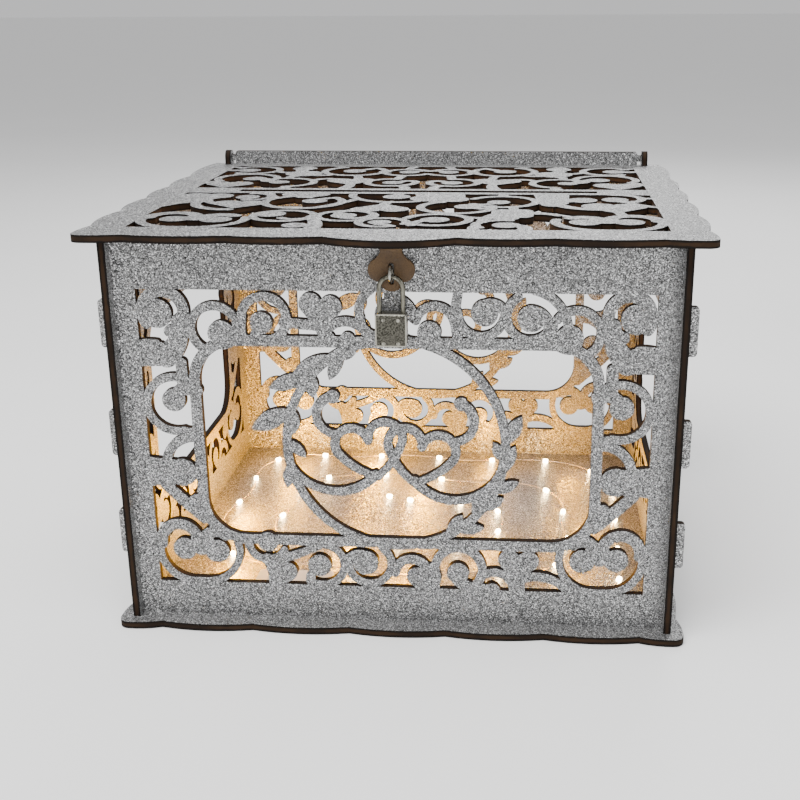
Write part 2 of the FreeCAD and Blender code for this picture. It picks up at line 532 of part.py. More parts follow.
def lid_second_row():
    """Motifs that hang from the bar in front of the card slot; v = 0 is that bar's front edge."""
    faces = [disc(-131, -13, 10.5), disc(-117, -12, 9.0)]
    faces.append(poly((-142, -14), (-109, -13), (-124, -36), (-138, -46)))
    faces += swoosh((-131, -30), (-136, -40), (-141, -52), 12.0, 4.0)
    faces += heart(-98.0, -41.0, 28.0, 270)
    faces += swoosh((-120.0, -24.0), (-114.0, -38.0), (-102.0, -44.0), 6.0, 5.0)
    faces += swoosh((-122.0, -30.0), (-118.0, -52.0), (-99.0, -60.0), 6.0, 6.0)
    faces += ribbon(-97.0, -14.0, 12.2, -95, 95, 5.0) + [disc(-98.5, -15.5, 7.2)]
    faces += strap(-98.0, -20.0, -97.0, -27.0, 5.0)
    faces += ribbon(-62.0, -32.0, 22.4, 118, 405, 5.0) + [disc(-56.0, -28.5, 7.4)]
    faces += swoosh((-54.0, -23.0), (-49.0, -18.0), (-45.0, -16.5), 6.0, 5.0)
    faces += swoosh((-80.0, -18.0), (-86.0, -8.0), (-88.0, 0.0), 5.0, 6.0)
    faces += [disc(-71, -4, 9.0), disc(-60, -4, 9.0), poly((-76, -8), (-55, -8), (-60, -18), (-68, -17))]
    faces += ribbon(-10.0, -4.0, 27.0, 178, 300, 5.0) + [disc(-10, -11, 8.2)]
    faces += strap(-10, 0, -10, -8, 6.5)
    faces += heart(-14.0, -52.0, 28.0, 92)
    faces += swoosh((-33.0, -22.0), (-40.0, -36.0), (-52.0, -52.0), 5.0, 5.0)
    faces += swoosh((-14.0, -38.0), (-13.0, -34.0), (-11.0, -30.0), 6.0, 5.0)
    faces += swoosh((-24.0, -58.0), (-32.0, -62.0), (-36.0, -70.0), 5.0, 5.0)
    faces += [disc(9, -17, 10.5), disc(24, -19, 9.5), poly((0, 0), (30, 0), (31, -16), (2, -14))]
    faces += ribbon(28.0, -47.0, 20.5, 118, 372, 5.0) + [disc(34.0, -45.0, 7.8)]
    faces += swoosh((38.0, -48.0), (44.0, -51.0), (47.0, -43.0), 6.0, 5.0)
    faces += swoosh((18.0, -30.0), (12.0, -26.0), (10.0, -20.0), 5.0, 6.0)
    faces += ribbon(53.0, -27.0, 19.4, -150, 150, 5.0) + [disc(51.0, -29.0, 6.6)]
    faces += swoosh((47.0, -33.0), (42.0, -38.0), (36.5, -36.0), 5.0, 5.0)
    faces += strap(53.0, -7.0, 53.0, 0.0, 6.0)
    faces += [disc(99, -20, 8.6), disc(82, -36, 7.0)]
    faces.append(poly((71, 0), (92, 0), (91, -32), (82, -44), (74, -34)))
    faces += heart(116.0, -45.0, 33.0, 270)
    faces += swoosh((84.0, -34.0), (94.0, -48.0), (106.0, -52.0), 8.0, 6.0)
    faces += swoosh((90.0, -20.0), (92.0, -23.0), (94.0, -22.0), 8.0, 8.0)
    faces += swoosh((117.0, -60.0), (118.0, -66.0), (120.0, -74.0), 6.0, 6.0)
    faces += ribbon(119.0, -14.0, 14.6, -62, 95, 5.0) + [disc(118.0, -17.5, 7.8)]
    faces += swoosh((120.0, -22.0), (125.0, -25.5), (128.0, -24.0), 6.0, 5.0)
    faces += swoosh((125.0, -27.0), (131.0, -36.0), (141.0, -44.0), 5.0, 5.0)
    faces += strap(133.0, -12.0, 141.0, -12.0, 5.0)
    faces += swoosh((60.0, -45.0), (60.0, -52.0), (62.0, -58.0), 5.0, 6.0)
    return faces


def lid_back_row():
    """Motifs behind the card slot, the same left and right; v = 0 is the rear bar's back edge."""
    half = ribbon(117.0, 42.0, 19.4, -35, 215, 5.0) + [disc(112.0, 41.0, 7.8)]
    half += swoosh((106.0, 40.0), (101.0, 36.0), (100.0, 30.0), 6.0, 6.0)
    half += heart(123.0, 15.0, 27.0, 270)
    half += swoosh((132.0, 30.0), (138.0, 24.0), (141.0, 18.0), 5.0, 5.0)
    half += ribbon(121.0, 82.0, 17.0, 40, 300, 5.0) + [disc(125.0, 81.0, 7.8)]
    half += swoosh((130.0, 81.0), (136.0, 80.0), (141.0, 82.0), 7.0, 7.0)
    half += swoosh((132.0, 92.0), (136.0, 96.0), (141.0, 98.0), 5.0, 5.0)
    half += swoosh((126.0, 66.0), (128.0, 63.0), (128.0, 59.0), 5.0, 5.0)
    half += ribbon(88.0, 25.0, 18.0, 28, 262, 5.0) + [disc(92.5, 26.0, 6.6)]
    half += swoosh((97.0, 28.0), (102.0, 30.0), (104.0, 34.0), 6.0, 6.0)
    half += swoosh((84.0, 8.0), (84.0, 4.0), (85.0, 0.0), 5.0, 8.0)
    half += [disc(84, 66, 12.5), disc(88, 92, 8.5)]
    half += swoosh((84.0, 72.0), (89.0, 84.0), (88.0, 104.0), 9.0, 8.0)
    half += swoosh((76.0, 60.0), (70.0, 58.0), (64.0, 62.0), 7.0, 5.0)
    half += swoosh((88.0, 54.0), (90.0, 50.0), (88.0, 43.0), 7.0, 5.0)
    half += swoosh((94.0, 70.0), (100.0, 72.0), (105.0, 78.0), 6.0, 5.0)
    half += ribbon(51.0, 79.0, 20.6, -230, 60, 5.0) + [disc(51.5, 80.0, 7.8)]
    half += swoosh((47.0, 85.0), (42.0, 90.0), (38.0, 94.5), 6.0, 5.0)
    half += swoosh((60.0, 97.0), (64.0, 100.0), (66.0, 104.0), 5.0, 6.0)
    half += heart(47.0, 32.0, 28.0, 264) + swoosh((45.0, 18.0), (45.0, 10.0), (47.0, 0.0), 6.0, 8.0)
    half += swoosh((58.0, 40.0), (64.0, 42.0), (71.0, 36.0), 6.0, 5.0)
    half += swoosh((44.0, 44.0), (45.0, 52.0), (48.0, 59.0), 6.0, 5.0)
    half += ribbon(20.0, 27.0, 15.6, -190, 100, 5.0) + [disc(19.0, 26.0, 6.8)]
    half += swoosh((14.0, 30.0), (10.0, 34.0), (4.5, 30.0), 5.0, 5.0)
    half += swoosh((14.0, 12.5), (10.0, 8.0), (9.0, 0.0), 5.0, 7.0)
    half += strap(35.0, 27.0, 39.0, 30.0, 5.0)
    half += ribbon(14.5, 74.0, 15.2, -150, 150, 4.8) + [disc(13.5, 76.0, 6.8)]
    half += swoosh((9.0, 79.0), (5.0, 82.0), (1.0, 81.0), 5.0, 5.0)
    half += swoosh((16.0, 89.0), (14.0, 96.0), (12.0, 104.0), 5.0, 7.0)
    half += strap(18.0, 42.0, 16.0, 58.0, 6.0) + strap(28.0, 76.0, 32.0, 77.0, 5.0)
    return half + flipped(half)


def lid_face():
    """Outline and piercing of the lid; u is X and v is Y."""
    front = -HALF_D - LID_FRONT
    cusp_x = LID_HALF_W - CUSP_INSET
    cusps = [LID_HALF_W * share for share in LID_CUSPS]
    outline = scalloped_outline(-cusp_x, front, cusp_x, HALF_D, LID_CORNER,
                                cusps, SIDE_SCALLOPS, LID_BULGE, LID_CENTRE_BULGE, "straight")
    field = rect(-LID_FIELD_HALF_W, LID_FIELD_FRONT, LID_FIELD_HALF_W, LID_FIELD_BACK)
    slot = rect(-SLOT_L / 2.0, SLOT_Y - SLOT_W / 2.0, SLOT_L / 2.0, SLOT_Y + SLOT_W / 2.0)
    bar_front = SLOT_Y - SLOT_W / 2.0 - SLOT_BAR
    bar_back = SLOT_Y + SLOT_W / 2.0 + SLOT_BAR
    solids = [rect(-LID_FIELD_HALF_W, bar_front, LID_FIELD_HALF_W, bar_back)]
    solids += moved(lid_front_row(), 0, LID_FIELD_FRONT)
    solids += moved(lid_second_row(), 0, bar_front)
    solids += moved(lid_back_row(), 0, bar_back)
    face = pierced(outline, field, solids)
    cuts = [slot]
    for side in (-1, 1):
        ear_x = side * (HALF_W - BOARD / 2.0)
        wide = BOARD / 2.0 + MOVE_GAP
        cuts.append(rect(ear_x - wide, HINGE_Y - EAR_R - MOVE_GAP, ear_x + wide, HALF_D + LAP))
    for x in STRIP_TABS:
        half = STRIP_TAB_W / 2.0 + JOINT_GAP
        cuts.append(rect(x - half, HALF_D - BOARD - JOINT_GAP, x + half, HALF_D + LAP))
    return face.cut(cuts)


def lid_panel():
    plate = lid_face().extrude(V(0, 0, BOARD)).translated(V(0, 0, WALL_TOP))
    return plate.cut(hasp_staple()).removeSplitter()


def hinge_strip():
    """The upright strip along the lid's back edge, with a peg at each end."""
    half = INNER_W - EAR_GAP
    low = HALF_D - BOARD
    strip = Part.makeBox(2 * half, BOARD, STRIP_H, V(-half, low, LID_TOP))
    across = [e for e in strip.Edges if abs(e.Vertexes[0].Y - e.Vertexes[-1].Y) > 1]
    upper = [e for e in across if e.CenterOfMass.z > HINGE_Z]
    strip = strip.makeFillet(STRIP_CORNER_R, upper)
    extras = [Part.makeBox(BODY_W, PEG, PEG, V(-HALF_W, HINGE_Y - PEG / 2.0, HINGE_Z - PEG / 2.0))]
    for x in STRIP_TABS:
        foot = V(x - STRIP_TAB_W / 2.0, low, WALL_TOP)
        extras.append(Part.makeBox(STRIP_TAB_W, BOARD, BOARD + LAP, foot))
    return strip.fuse(extras).removeSplitter()


# ---- hasp, screw eye and padlock ---------------------------------------------------------------
EYE_Z = WALL_TOP - 16.0 # middle of the screw eye
EYE_WIRE = 0.8          # radius of the screw eye's wire
EYE_RING = 3.5          # middle radius of its ring
EYE_Y = -HALF_D - 6.8
EYE_POINT = 1.5         # how far the screw eye's point stands out behind the panel
COLLAR_R = 2.0
COLLAR_T = 0.7
HASP_T = 2.4            # leather thickness
HASP_Y = -HALF_D - 2.5  # middle of the leather
HASP_NECK = 5.6         # half the width of the leather at its loop
HASP_SLOT_R = 1.3       # half the width of its slot for the screw eye
STAPLE_R = 0.7
STAPLE_Z = WALL_TOP - 2.6
STAPLE_HALF = 8.0
STAPLE_RISE = 3.0       # how far the staple's legs go up into the lid
LOOP_R = 2.2            # outer radius of the leather's loop
SHACKLE_R = 1.25
SHACKLE_HALF = 6.0      # middle of the padlock to the middle of each leg
SHACKLE_TOP = EYE_Z - EYE_RING + EYE_WIRE + SHACKLE_R + 0.1
LOCK_W = 16.0
LOCK_H = 17.0
LOCK_T = 7.6
LOCK_EDGE = 1.6         # corner radius of the case and its plates
PLATE_T = 1.2           # thickness of the front and back plates
LOCK_TOP = SHACKLE_TOP - 18.6
LONG_LEG = 13.0         # depth of the shackle's long leg in the case
SHORT_LEG = 10.0
LEG_ROOM = 1.0          # room under each leg
LOCK_PLAY = 0.05
RIVET_X = 3.7           # the lock's rivets, each side of its middle
RIVET_DROPS = (3.1, 15.3)
PIN_R = 0.6
RIVET_HEAD_R = 0.95
RIVET_HEAD_T = 0.35
PLUG_R = 2.5            # bore of the key plug
PLUG_L = 10.0
KEYWAY = (0.9, 3.4, 6.5)
LATCH_TOP = LOCK_TOP - 4.0
LATCH_T = 1.6
LATCH_START = 0.4       # latch's inner end from the padlock's middle
LATCH_BACK = 3.0        # how far its guide goes on behind it
SPRING_R = 0.55
SPRING_WIRE_R = 0.12
SPRING_PITCH = 0.62
SPRING_L = 2.5
SPRING_GAP = 0.18       # spring's end to the guide's end
LATCH_OUT = 1.2         # how far the latch reaches into the shackle leg
RELEASE_DROP = 5.0      # how far the case falls when the latch lets go


def turned_bar(radius, start, length, axis):
    return Part.makeCylinder(radius, length, start, axis)


def screw_eye():
    ring = Part.makeTorus(EYE_RING, EYE_WIRE, V(0, EYE_Y, EYE_Z), V(1, 0, 0))
    back = EYE_Y + EYE_RING
    shank = turned_bar(EYE_WIRE, V(0, back, EYE_Z), -INNER_D + EYE_POINT - back, V(0, 1, 0))
    collar = turned_bar(COLLAR_R, V(0, -HALF_D - COLLAR_T, EYE_Z), COLLAR_T, V(0, 1, 0))
    return ring.fuse([shank, collar])


def hasp_staple():
    bar = turned_bar(STAPLE_R, V(-STAPLE_HALF, HASP_Y, STAPLE_Z), 2 * STAPLE_HALF, V(1, 0, 0))
    parts = []
    for side in (-1, 1):
        x = side * STAPLE_HALF
        leg = WALL_TOP + STAPLE_RISE - STAPLE_Z
        parts.append(turned_bar(STAPLE_R, V(x, HASP_Y, STAPLE_Z), leg, V(0, 0, 1)))
        parts.append(Part.makeSphere(STAPLE_R, V(x, HASP_Y, STAPLE_Z)))
    return bar.fuse(parts)


def hasp_tab():
    """A three-lobed leather tab looped over the staple, with a slot for the screw eye."""
    lobes = [disc(-5.9, EYE_Z + 1.2, 6.1), disc(5.9, EYE_Z + 1.2, 6.1), disc(0, EYE_Z - 3.4, 6.4)]
    neck = rect(-HASP_NECK, EYE_Z, HASP_NECK, STAPLE_Z)
    low, high = EYE_Z + 6.4, EYE_Z + 10.0
    shoulders = poly((-8.6, low), (8.6, low), (HASP_NECK, high), (-HASP_NECK, high))
    face = neck.fuse(lobes + [shoulders]).removeSplitter()
    slot_low, slot_high = EYE_Z - 4.8, EYE_Z + 3.6
    slot = [rect(-HASP_SLOT_R, slot_low, HASP_SLOT_R, slot_high)]
    slot += [disc(0, end, HASP_SLOT_R) for end in (slot_low, slot_high)]
    plate = face.cut(slot).extrude(V(0, 0, HASP_T))
    plate.rotate(V(0, 0, 0), V(1, 0, 0), 90)
    plate = plate.translated(V(0, HASP_Y + HASP_T / 2.0, 0))
    loop = turned_bar(LOOP_R, V(-HASP_NECK, HASP_Y, STAPLE_Z), 2 * HASP_NECK, V(1, 0, 0))
    reach = HASP_NECK + LAP
    bore = turned_bar(STAPLE_R + LOCK_PLAY, V(-reach, HASP_Y, STAPLE_Z), 2 * reach, V(1, 0, 0))
    return plate.fuse(loop).cut(bore).removeSplitter()


def shackle():
    """The U; its right leg is short and has a sloped notch on the inner side."""
    bend_z = SHACKLE_TOP - SHACKLE_HALF
    bend = Part.makeTorus(SHACKLE_HALF, SHACKLE_R, V(0, EYE_Y, bend_z), V(0, 1, 0))
    bend = bend.common(Part.makeBox(40, 40, 20, V(-20, EYE_Y - 20, bend_z)))
    legs = []
    for x, depth in ((-SHACKLE_HALF, LONG_LEG), (SHACKLE_HALF, SHORT_LEG)):
        foot = V(x, EYE_Y, LOCK_TOP - depth)
        legs.append(turned_bar(SHACKLE_R, foot, bend_z - LOCK_TOP + depth, V(0, 0, 1)))
    inner = SHACKLE_HALF - SHACKLE_R
    deep = inner + LATCH_OUT + 2 * LOCK_PLAY
    high = LATCH_TOP + 2 * LOCK_PLAY
    low = LATCH_TOP - LATCH_T - LOCK_PLAY
    notch = poly((inner - LAP, high), (deep, high), (deep, low), (inner - LAP, low - notch_run()))
    notch = notch.extrude(V(0, 0, 10))
    notch.rotate(V(0, 0, 0), V(1, 0, 0), 90)
    notch = notch.translated(V(0, EYE_Y + 5, 0))
    return bend.fuse(legs).removeSplitter().cut(notch)


def notch_run():
    """Height over which the notch's sloping floor runs out, so that it follows the latch."""
    return RELEASE_DROP * (LATCH_OUT + LAP + 2 * LOCK_PLAY) / (LATCH_OUT + MOVE_GAP)


def lock_block(front, thickness):
    box = Part.makeBox(LOCK_W, thickness, LOCK_H, V(-LOCK_W / 2.0, front, LOCK_TOP - LOCK_H))
    along_y = [e for e in box.Edges if abs(e.Vertexes[0].Y - e.Vertexes[-1].Y) > thickness / 2.0]
    return box.makeFillet(LOCK_EDGE, along_y)


def rivet_places():
    return [(x, LOCK_TOP - drop) for x in (-RIVET_X, RIVET_X) for drop in RIVET_DROPS]


def lock_rivets():
    front = EYE_Y - LOCK_T / 2.0
    pins = []
    for x, z in rivet_places():
        pin = turned_bar(PIN_R, V(x, front, z), LOCK_T, V(0, 1, 0))
        head = turned_bar(RIVET_HEAD_R, V(x, front - RIVET_HEAD_T, z), RIVET_HEAD_T, V(0, 1, 0))
        pins.append(pin.fuse(head).removeSplitter())
    return Part.makeCompound(pins)


def latch_box(extra):
    """The latch bolt, or its guide when extra is the clearance round it."""
    reach = SHACKLE_HALF - SHACKLE_R + LATCH_OUT
    corner = V(LATCH_START - extra, EYE_Y - LATCH_T / 2.0 - extra, LATCH_TOP - LATCH_T - extra)
    thick = LATCH_T + 2 * extra
    return Part.makeBox(reach - LATCH_START + 2 * extra, thick, thick, corner)


def latch():
    return latch_box(0.0)


def latch_spring():
    """The coil that pushes the latch out, in the guide behind it."""
    helix = Part.makeHelix(SPRING_PITCH, SPRING_L, SPRING_R)
    wire = Part.Wire(Part.makeCircle(SPRING_WIRE_R, V(SPRING_R, 0, 0), V(0, 1, 0)))
    coil = Part.Wire(helix).makePipeShell([wire], True, True)
    coil.rotate(V(0, 0, 0), V(0, 1, 0), 90)
    start = LATCH_START - LOCK_PLAY - LATCH_BACK + SPRING_GAP + SPRING_WIRE_R
    return coil.translated(V(start, EYE_Y, LATCH_TOP - LATCH_T / 2.0))


def lock_case():
    thickness = LOCK_T - 2 * PLATE_T
    block = lock_block(EYE_Y - thickness / 2.0, thickness)
    up = V(0, 0, 1)
    cuts = []
    for x, depth in ((-SHACKLE_HALF, LONG_LEG + LEG_ROOM), (SHACKLE_HALF, SHORT_LEG + LEG_ROOM)):
        foot = V(x, EYE_Y, LOCK_TOP - depth)
        cuts.append(turned_bar(SHACKLE_R + LOCK_PLAY, foot, depth + LAP, up))
    guide = latch_box(LOCK_PLAY)
    cuts += [guide, guide.translated(V(-LATCH_BACK, 0, 0))]
    plug_length = PLUG_L + 4 * LOCK_PLAY
    cuts.append(turned_bar(PLUG_R, V(0, EYE_Y, LOCK_TOP - LOCK_H - LAP), plug_length + LAP, up))
    cuts += [turned_bar(PIN_R, V(x, EYE_Y - LOCK_T, z), 2 * LOCK_T, V(0, 1, 0)) for x, z in rivet_places()]
    return block.cut(cuts)


def lock_front():
    return lock_block(EYE_Y - LOCK_T / 2.0, PLATE_T).cut(lock_rivets())


def lock_back():
    return lock_block(EYE_Y + LOCK_T / 2.0 - PLATE_T, PLATE_T).cut(lock_rivets())


def lock_plug():
    """The round key plug with its keyway, open at the case's underside."""
    bottom = LOCK_TOP - LOCK_H
    body = turned_bar(PLUG_R - LOCK_PLAY, V(0, EYE_Y, bottom), PLUG_L, V(0, 0, 1))
    width, across, depth = KEYWAY
    corner = V(-width / 2.0, EYE_Y - across / 2.0, bottom - LAP)
    return body.cut(Part.makeBox(width, across, depth + LAP, corner))


# ---- fairy lights -------------------------------------------------------------------------------
CORD_R = 0.4
BEAD_R = 1.6
BEAD_HALF = 1.7         # half of a resin drop's length
BEAD_BARREL = 0.9       # half of its straight middle
CORD_Z = FLOOR_Z + BEAD_R + 0.05
CASE_X, CASE_Y = -64.0, -HALF_D + 22.0
CASE_L, CASE_W, CASE_H = 44.0, 27.0, 10.4
CASE_WALL = 1.4
CASE_EDGE = 2.2         # radius of the case's upright edges
CELL_R, CELL_H = 10.0, 3.2
CAP_H = 0.3             # height of a cell's smaller cap
CELL_X = CASE_X - CASE_L / 2.0 + CASE_WALL + CELL_R + 1.2
WELL_GAP = 0.4          # clearance round the cells
BAY_L = 14.5            # length of the switch bay
BAY_RIM = 0.5           # extra wall beside the bay
LINK_HALF, LINK_W = 6.0, 4.0
INLET_L = 5.0
CONTACT_T = 0.4
COVER_T = 1.3
COVER_GAP = 0.02
RIDGES, RIDGE_X, RIDGE_PITCH, RIDGE_L = 5, CASE_X - 16.0, 2.2, 12.0
SWITCH_X = CASE_X + CASE_L / 2.0 - 8.6
SWITCH_SLOT_L, SWITCH_SLOT_H = 7.0, 2.6
SWITCH_LOW = 3.3        # knob's underside above the base
KNOB_W, KNOB_PLAY = 3.0, 0.2
CORD_POINTS = (
    (-43.6, -110.0), (-22.0, -110.0), (4.0, -113.0), (44.0, -106.0), (86.0, -113.0), (120.0, -98.0),
    (132.0, -60.0), (124.0, -16.0), (134.0, 28.0), (128.0, 74.0), (106.0, 106.0), (62.0, 112.0),
    (26.0, 104.0), (-18.0, 117.0), (-62.0, 106.0), (-104.0, 114.0), (-130.0, 84.0), (-121.0, 40.0),
    (-134.0, -2.0), (-126.0, -46.0), (-98.0, -74.0), (-54.0, -70.0), (-12.0, -84.0), (34.0, -74.0),
    (76.0, -78.0), (102.0, -46.0), (92.0, -4.0), (98.0, 38.0), (70.0, 68.0), (28.0, 62.0),
    (-10.0, 76.0), (-54.0, 74.0), (-92.0, 60.0), (-86.0, 20.0), (-100.0, -22.0), (-68.0, -44.0),
    (-30.0, -30.0), (8.0, -42.0), (46.0, -34.0), (58.0, 0.0), (44.0, 30.0), (6.0, 24.0), (-26.0, 36.0),
)


def cord_path():
    """Straight runs joined by tangent arcs, each arc as large as its two runs allow."""
    points = [V(x, y, CORD_Z) for x, y in CORD_POINTS]
    edges = []
    radii = []
    here = points[0]
    for a, b, c in zip(points, points[1:], points[2:]):
        into, out = (b - a), (c - b)
        turn = into.getAngle(out)
        reach = 0.45 * min(into.Length, out.Length)
        radius = reach / math.tan(turn / 2.0)
        u, w = into.normalize(), out.normalize()
        p, q = b - u * reach, b + w * reach
        bisector = (w - u).normalize()
        middle = b + bisector * (radius / math.cos(turn / 2.0) - radius)
        edges.append(Part.LineSegment(here, p).toShape())
        edges.append(Part.Arc(p, middle, q).toShape())
        radii.append(radius)
        here = q
    edges.append(Part.LineSegment(here, points[-1]).toShape())
    return edges, radii


def bead_spots():
    """The middle of each run and its direction, and the cord's far end."""
    spots = []
    for (x0, y0), (x1, y1) in zip(CORD_POINTS[1:], CORD_POINTS[2:]):
        along = V(x1 - x0, y1 - y0, 0).normalize()
        spots.append((V((x0 + x1) / 2.0, (y0 + y1) / 2.0, CORD_Z), along))
    spots.append((V(x1, y1, CORD_Z) - along * 1.0, along))
    return spots


def fairy_wire():
    edges, radii = cord_path()
    start = edges[0].firstVertex().Point
    profile = Part.Wire(Part.makeCircle(CORD_R, start, edges[0].tangentAt(0)))
    tube = Part.Wire(edges).makePipeShell([profile], True, False)
    length = sum(edge.Length for edge in edges)
    print("cord length %.1f mm, smallest radius %.1f mm" % (length, min(radii)))
    print("cord radii " + " ".join("%.0f" % r for r in radii))
    print("cord volume %.2f, section times length %.2f" % (tube.Volume, math.pi * CORD_R ** 2 * length))
    return tube


def fairy_beads():
    """A resin drop threaded on the wire at each spot."""
    beads = []
    for spot, along in bead_spots():
        barrel = turned_bar(BEAD_R, spot - along * BEAD_BARREL, 2 * BEAD_BARREL, along)
        ends = [Part.makeSphere(BEAD_R, spot + along * (BEAD_BARREL * side)) for side in (-1, 1)]
        trim = turned_bar(BEAD_R + LAP, spot - along * BEAD_HALF, 2 * BEAD_HALF, along)
        body = barrel.fuse(ends).removeSplitter().common(trim)
        beads.append(body.cut(turned_bar(CORD_R, spot - along * 4, 8, along)))
    return Part.makeCompound(beads)


def case_slab(low, height):
    """A slab of the battery case's outline, with its upright edges rounded."""
    corner = V(CASE_X - CASE_L / 2.0, CASE_Y - CASE_W / 2.0, low)
    slab = Part.makeBox(CASE_L, CASE_W, height, corner)
    uprights = [e for e in slab.Edges if abs(e.Vertexes[0].Z - e.Vertexes[-1].Z) > height / 2.0]
    return slab.makeFillet(CASE_EDGE, uprights)


def battery_case():
    """An open-topped tray with a round well for two stacked cells and a bay for the switch."""
    outer = case_slab(FLOOR_Z, CASE_H - COVER_T)
    low = FLOOR_Z + CASE_WALL
    right = CASE_X + CASE_L / 2.0
    back = CASE_Y + CASE_W / 2.0
    well = turned_bar(CELL_R + WELL_GAP, V(CELL_X, CASE_Y, low), CASE_H, V(0, 0, 1))
    bay_w = CASE_W - 2 * (CASE_WALL + BAY_RIM)
    bay = Part.makeBox(BAY_L, bay_w, CASE_H, V(right - CASE_WALL - BAY_L, CASE_Y - bay_w / 2.0, low))
    link = Part.makeBox(2 * LINK_HALF, LINK_W, CASE_H, V(CELL_X + LINK_HALF, CASE_Y - LINK_W / 2.0, low))
    inlet = turned_bar(CORD_R, V(right - INLET_L, CORD_POINTS[0][1], CORD_Z), 2 * INLET_L, V(1, 0, 0))
    slot = V(SWITCH_X - SWITCH_SLOT_L / 2.0, back - 2 * CASE_WALL, FLOOR_Z + SWITCH_LOW - JOINT_GAP)
    window = Part.makeBox(SWITCH_SLOT_L, 2 * CASE_WALL + LAP, SWITCH_SLOT_H, slot)
    return outer.cut([well, bay, link, inlet, window])


def light_switch():
    """The slide switch's knob, standing out of the case's back wall."""
    wall_y = CASE_Y + CASE_W / 2.0 - CASE_WALL
    left = SWITCH_X - SWITCH_SLOT_L / 2.0 + KNOB_PLAY
    knob = Part.makeBox(KNOB_W, 3.4, 2.4, V(left, wall_y - 0.6, FLOOR_Z + SWITCH_LOW))
    shoe = Part.makeBox(4.6, 1.0, 4.6, V(left - 0.8, wall_y - 1.6, FLOOR_Z + SWITCH_LOW - 1.1))
    return knob.fuse(shoe).removeSplitter()


def battery_cover():
    """The sliding cover, with a row of thumb ridges."""
    low = FLOOR_Z + CASE_H - COVER_T + COVER_GAP
    slab = case_slab(low, COVER_T)
    ridges = []
    for k in range(RIDGES):
        corner = V(RIDGE_X + RIDGE_PITCH * k, CASE_Y - RIDGE_L / 2.0, low + COVER_T)
        ridges.append(Part.makeBox(1.0, RIDGE_L, 0.5, corner))
    return slab.fuse(ridges).removeSplitter()


def coin_cells():
    """Two stacked cells, each a can with a smaller cap under it."""
    cells = []
    for k in range(2):
        z = FLOOR_Z + CASE_WALL + CONTACT_T + k * CELL_H
        can = turned_bar(CELL_R, V(CELL_X, CASE_Y, z + CAP_H), CELL_H - CAP_H, V(0, 0, 1))
        cap = turned_bar(CELL_R - 1.4, V(CELL_X, CASE_Y, z), CAP_H, V(0, 0, 1))
        cells.append(can.fuse(cap))
    return Part.makeCompound(cells)


def contact_minus():
    """A round pad under the stack with a tail to the switch bay."""
    low = FLOOR_Z + CASE_WALL
    pad = turned_bar(5.0, V(CELL_X, CASE_Y, low), CONTACT_T, V(0, 0, 1))
    tail = Part.makeBox(15.0, 2.6, CONTACT_T, V(CELL_X, CASE_Y - 1.3, low))
    return pad.fuse(tail).removeSplitter()


def contact_plus():
    """A leaf that bears on the side of the stack, from the switch bay."""
    corner = V(CELL_X + CELL_R + COVER_GAP, CASE_Y - 1.8, FLOOR_Z + CASE_WALL + 1.6)
    blade = Part.makeBox(CONTACT_T, 3.6, 4.4, corner)
    foot = Part.makeBox(4.0, 3.6, CONTACT_T, corner)
    return blade.fuse(foot).removeSplitter()


# ---- write every node -------------------------------------------------------------------------------
left = side_wall()
eye = screw_eye()
save(base_plate(), "base_plate")
save(end_wall(-HALF_D, WALL_TOP).cut(eye), "front_panel")
save(end_wall(INNER_D, WALL_TOP - REAR_DROP), "rear_panel")
save(left, "left_panel")
save(left.mirror(V(0, 0, 0), V(1, 0, 0)), "right_panel")
save(lid_panel(), "lid_panel")
save(hinge_strip(), "hinge_strip")
save(hasp_staple(), "hasp_staple")
save(hasp_tab(), "hasp_tab")
save(eye, "screw_eye")
save(shackle(), "padlock_shackle")
save(lock_case(), "padlock_case")
save(lock_front(), "padlock_front_plate")
save(lock_back(), "padlock_back_plate")
save(lock_rivets(), "padlock_rivets")
save(lock_plug(), "padlock_plug")
save(latch(), "padlock_latch")
save(latch_spring(), "padlock_latch_spring")
save(battery_case(), "battery_case")
save(battery_cover(), "battery_cover")
save(coin_cells(), "coin_cells")
save(contact_minus(), "cell_contact_minus")
save(contact_plus(), "cell_contact_plus")
save(light_switch(), "light_switch")
save(fairy_wire(), "fairy_light_wire")
save(fairy_beads(), "fairy_light_beads")
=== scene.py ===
import math

import bmesh
import bpy
from mathutils import Matrix, Vector


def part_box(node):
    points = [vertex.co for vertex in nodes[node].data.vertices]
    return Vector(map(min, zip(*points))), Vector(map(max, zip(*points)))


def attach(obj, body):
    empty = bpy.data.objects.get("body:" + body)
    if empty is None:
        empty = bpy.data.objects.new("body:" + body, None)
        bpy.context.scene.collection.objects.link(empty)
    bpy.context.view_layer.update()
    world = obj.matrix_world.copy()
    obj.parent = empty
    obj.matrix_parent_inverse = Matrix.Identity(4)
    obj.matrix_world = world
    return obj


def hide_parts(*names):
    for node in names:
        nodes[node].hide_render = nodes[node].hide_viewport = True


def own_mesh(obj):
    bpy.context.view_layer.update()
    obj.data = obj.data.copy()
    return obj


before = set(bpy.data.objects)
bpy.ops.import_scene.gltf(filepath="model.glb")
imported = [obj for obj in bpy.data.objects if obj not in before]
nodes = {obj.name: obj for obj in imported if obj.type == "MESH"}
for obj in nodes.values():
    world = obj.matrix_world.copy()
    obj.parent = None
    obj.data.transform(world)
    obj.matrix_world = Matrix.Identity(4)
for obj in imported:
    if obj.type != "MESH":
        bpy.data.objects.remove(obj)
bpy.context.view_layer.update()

MM = 0.001

# ---- camera --------------------------------------------------------------------------------------
EYE = Vector((69.5, -707.6, 330.2)) * MM
YAW, PITCH, ROLL = -0.079, 0.327, -0.006    # radians
LENS, SENSOR = 52.4, 36.0                   # millimetres
SHIFT_X = -0.05                             # share of the sensor's width
CLIP_START = 0.05

